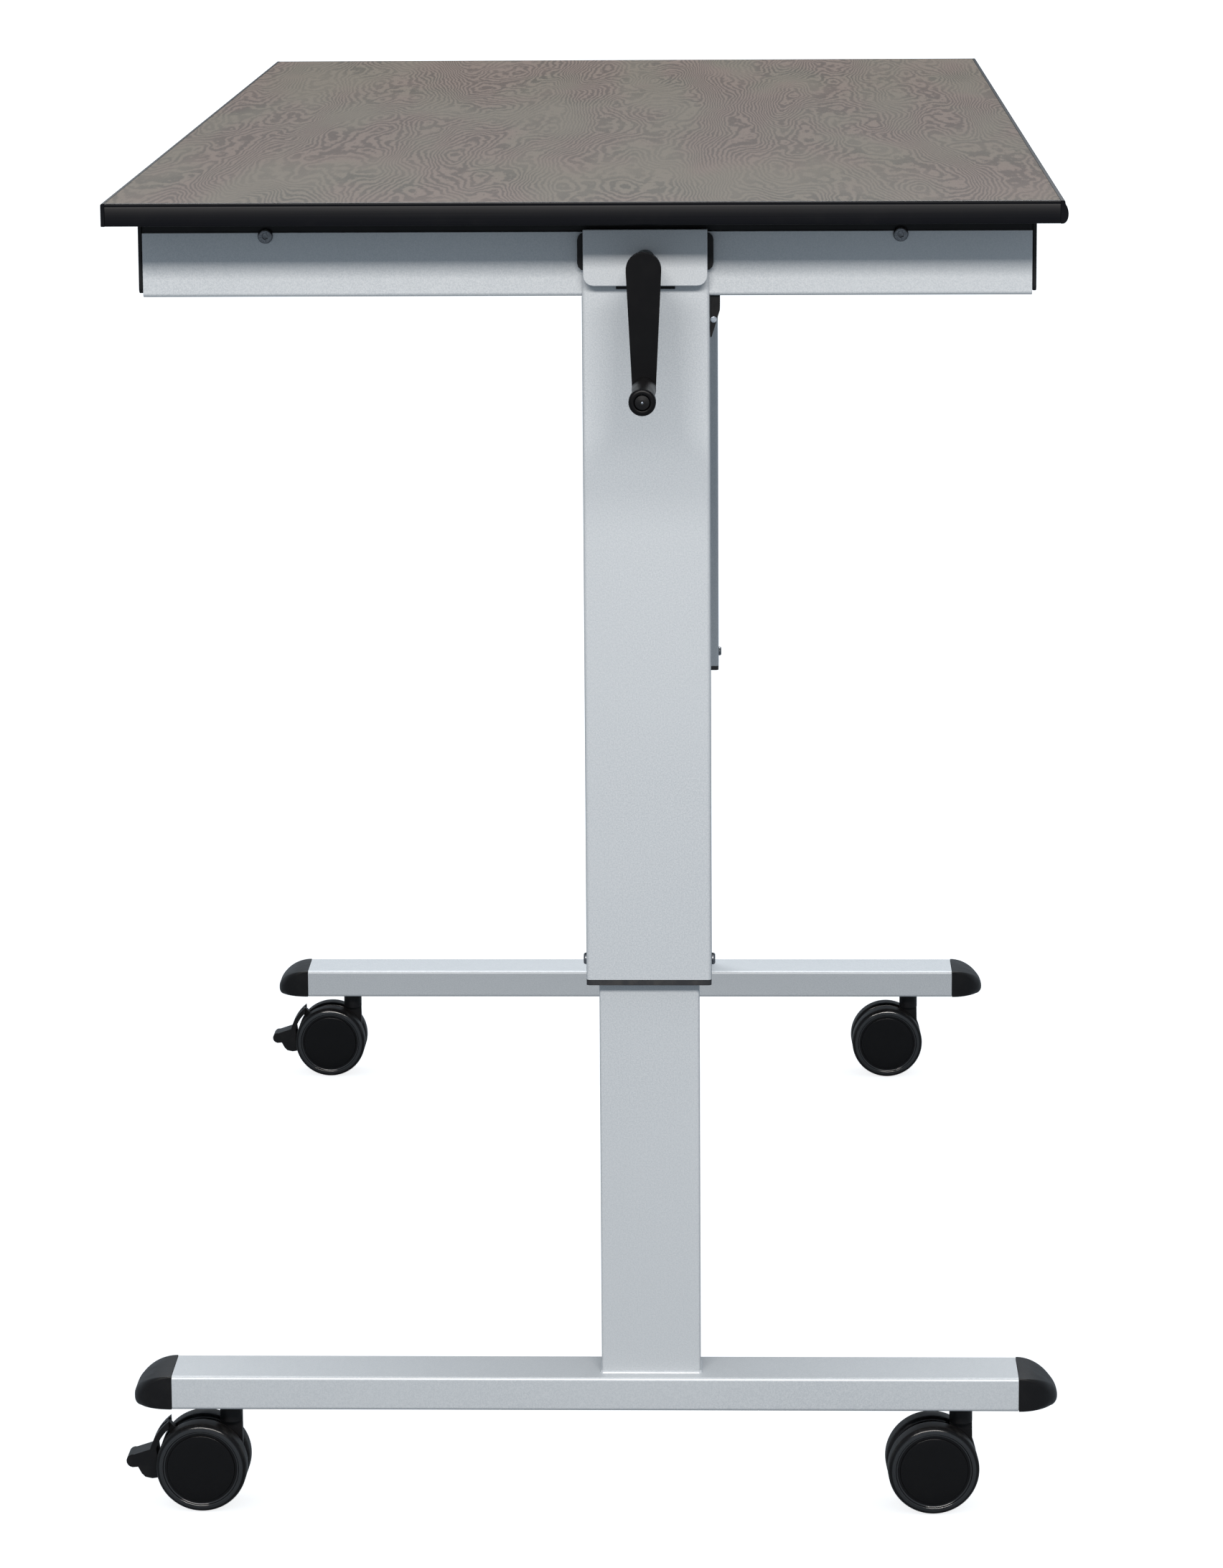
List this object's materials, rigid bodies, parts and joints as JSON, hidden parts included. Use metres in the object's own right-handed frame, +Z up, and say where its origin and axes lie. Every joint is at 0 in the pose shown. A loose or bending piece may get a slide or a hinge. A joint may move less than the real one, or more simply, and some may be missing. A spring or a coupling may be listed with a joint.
{
  "type": "height adjustable standing desk",
  "caption": "Crank-driven height adjustable standing desk: rectangular top on two telescoping T-shaped legs, rolling on swivel casters, some with brakes.",
  "frame": {"origin": "on the floor, at the middle of the whole desk's floor area", "axes": "+X along the desk's long side towards the crank, +Y towards the rear edge (the user sits at -Y), +Z up"},
  "size_m": [1.5874, 0.768, 1.0895],
  "materials": {
    "wood_laminate": "satin laminate, grey brown figured grain",
    "edge_band": "satin black",
    "black_plastic": "satin black",
    "wheel_plastic": "semi-gloss black",
    "silver_paint": "fine-textured silver-grey powder coat",
    "zinc_steel": "bright zinc plate",
    "machined_steel": "machined",
    "nylon": "dull black"
  },
  "bodies": {
    "base": {"foot_crank": "silver_paint", "foot_cap_crank_front": "black_plastic", "foot_cap_crank_rear": "black_plastic", "inner_tube_crank": "silver_paint", "screw_nut_crank": "nylon", "caster_stem_crank_front": "zinc_steel", "caster_stem_crank_rear": "zinc_steel"},
    "desk": {"tabletop_board": "wood_laminate", "edge_band_front": "edge_band", "edge_band_rear": "edge_band", "edge_band_crank": "edge_band", "edge_band_far": "edge_band", "rail_front": "silver_paint", "rail_rear": "silver_paint", "crank_bush": "black_plastic", "arm_crank": "silver_paint", "arm_strip_crank": "black_plastic", "gusset_crank": "black_plastic", "outer_tube_crank": "silver_paint", "glide_collar_crank": "nylon", "shaft_bearing_crank": "black_plastic", "head_cover_crank": "silver_paint", "arm_far": "silver_paint", "arm_strip_far": "black_plastic", "gusset_far": "black_plastic", "outer_tube_far": "silver_paint", "glide_collar_far": "nylon", "shaft_bearing_far": "black_plastic", "head_cover_far": "silver_paint", "arm_cap_crank_front": "black_plastic", "arm_cap_crank_rear": "black_plastic", "arm_cap_far_front": "black_plastic", "arm_cap_far_rear": "black_plastic"},
    "far_leg": {"foot_far": "silver_paint", "foot_cap_far_front": "black_plastic", "foot_cap_far_rear": "black_plastic", "inner_tube_far": "silver_paint", "screw_nut_far": "nylon", "caster_stem_far_front": "zinc_steel", "caster_stem_far_rear": "zinc_steel"},
    "drive": {"drive_shaft": "machined_steel", "shaft_gear_crank": "machined_steel", "shaft_gear_far": "machined_steel", "crank_arm": "black_plastic", "grip_bolt": "zinc_steel"},
    "grip": {"crank_grip": "black_plastic"},
    "screw_crank": {"lead_screw_crank": "machined_steel", "screw_gear_crank": "machined_steel"},
    "screw_far": {"lead_screw_far": "machined_steel", "screw_gear_far": "machined_steel"},
    "swivel_crank_front": {"caster_body_crank_front": "black_plastic"},
    "wheels_crank_front": {"caster_wheels_crank_front": "wheel_plastic"},
    "brake_crank_front": {"brake_lever_crank_front": "black_plastic"},
    "swivel_crank_rear": {"caster_body_crank_rear": "black_plastic"},
    "wheels_crank_rear": {"caster_wheels_crank_rear": "wheel_plastic"},
    "swivel_far_front": {"caster_body_far_front": "black_plastic"},
    "wheels_far_front": {"caster_wheels_far_front": "wheel_plastic"},
    "brake_far_front": {"brake_lever_far_front": "black_plastic"},
    "swivel_far_rear": {"caster_body_far_rear": "black_plastic"},
    "wheels_far_rear": {"caster_wheels_far_rear": "wheel_plastic"}
  },
  "joints": [
    {"name": "lift", "type": "slide", "parent": "base", "child": "desk", "axis": [0, 0, 1], "range_m": [-0.325, 0.061]},
    {"name": "far_leg_slide", "type": "slide", "parent": "desk", "child": "far_leg", "axis": [0, 0, -1], "range_m": [-0.325, 0.061]},
    {"name": "crank_turn", "type": "hinge", "parent": "desk", "child": "drive", "pos_m": [0.71225, 0.05045, 1.038], "axis": [1, 0, 0], "range_deg": [-1836, 9756]},
    {"name": "screw_turn_crank", "type": "hinge", "parent": "desk", "child": "screw_crank", "pos_m": [0.61275, 0.05045, 1.038], "axis": [0, 0, 1], "range_deg": [-1836, 9756]},
    {"name": "screw_turn_far", "type": "hinge", "parent": "desk", "child": "screw_far", "pos_m": [-0.70125, 0.05045, 1.038], "axis": [0, 0, 1], "range_deg": [-1836, 9756]},
    {"name": "grip_spin", "type": "hinge", "parent": "drive", "child": "grip", "pos_m": [0.72025, 0.05045, 0.9453], "axis": [1, 0, 0], "continuous": true},
    {"name": "swivel_crank_front", "type": "hinge", "parent": "base", "child": "swivel_crank_front", "pos_m": [0.61275, -0.29705, 0.08], "axis": [0, 0, 1], "continuous": true},
    {"name": "roll_crank_front", "type": "hinge", "parent": "swivel_crank_front", "child": "wheels_crank_front", "pos_m": [0.61234, -0.32055, 0.0375], "axis": [0.9998, -0.0175, 0], "continuous": true},
    {"name": "brake_release_crank_front", "type": "hinge", "parent": "swivel_crank_front", "child": "brake_crank_front", "pos_m": [0.61182, -0.35013, 0.06814], "axis": [-0.9998, 0.0175, 0], "range_deg": [0, 16]},
    {"name": "swivel_crank_rear", "type": "hinge", "parent": "base", "child": "swivel_crank_rear", "pos_m": [0.61275, 0.30495, 0.08], "axis": [0, 0, 1], "continuous": true},
    {"name": "roll_crank_rear", "type": "hinge", "parent": "swivel_crank_rear", "child": "wheels_crank_rear", "pos_m": [0.61377, 0.28147, 0.0375], "axis": [0.999, 0.0436, 0], "continuous": true},
    {"name": "swivel_far_front", "type": "hinge", "parent": "far_leg", "child": "swivel_far_front", "pos_m": [-0.70125, -0.29705, 0.08], "axis": [0, 0, 1], "continuous": true},
    {"name": "roll_far_front", "type": "hinge", "parent": "swivel_far_front", "child": "wheels_far_front", "pos_m": [-0.70146, -0.32055, 0.0375], "axis": [1, -0.0087, 0], "continuous": true},
    {"name": "brake_release_far_front", "type": "hinge", "parent": "swivel_far_front", "child": "brake_far_front", "pos_m": [-0.70171, -0.35014, 0.06814], "axis": [-1, 0.0087, 0], "range_deg": [0, 16]},
    {"name": "swivel_far_rear", "type": "hinge", "parent": "far_leg", "child": "swivel_far_rear", "pos_m": [-0.70125, 0.30495, 0.08], "axis": [0, 0, 1], "continuous": true},
    {"name": "roll_far_rear", "type": "hinge", "parent": "swivel_far_rear", "child": "wheels_far_rear", "pos_m": [-0.70064, 0.28146, 0.0375], "axis": [0.9997, 0.0262, 0], "continuous": true}
  ],
  "couplings": [
    {"joint": "far_leg_slide", "follows": "lift", "ratio": 1},
    {"joint": "crank_turn", "follows": "lift", "rad_per_m": -523.6},
    {"joint": "screw_turn_crank", "follows": "lift", "rad_per_m": -523.6},
    {"joint": "screw_turn_far", "follows": "lift", "rad_per_m": -523.6}
  ]
}
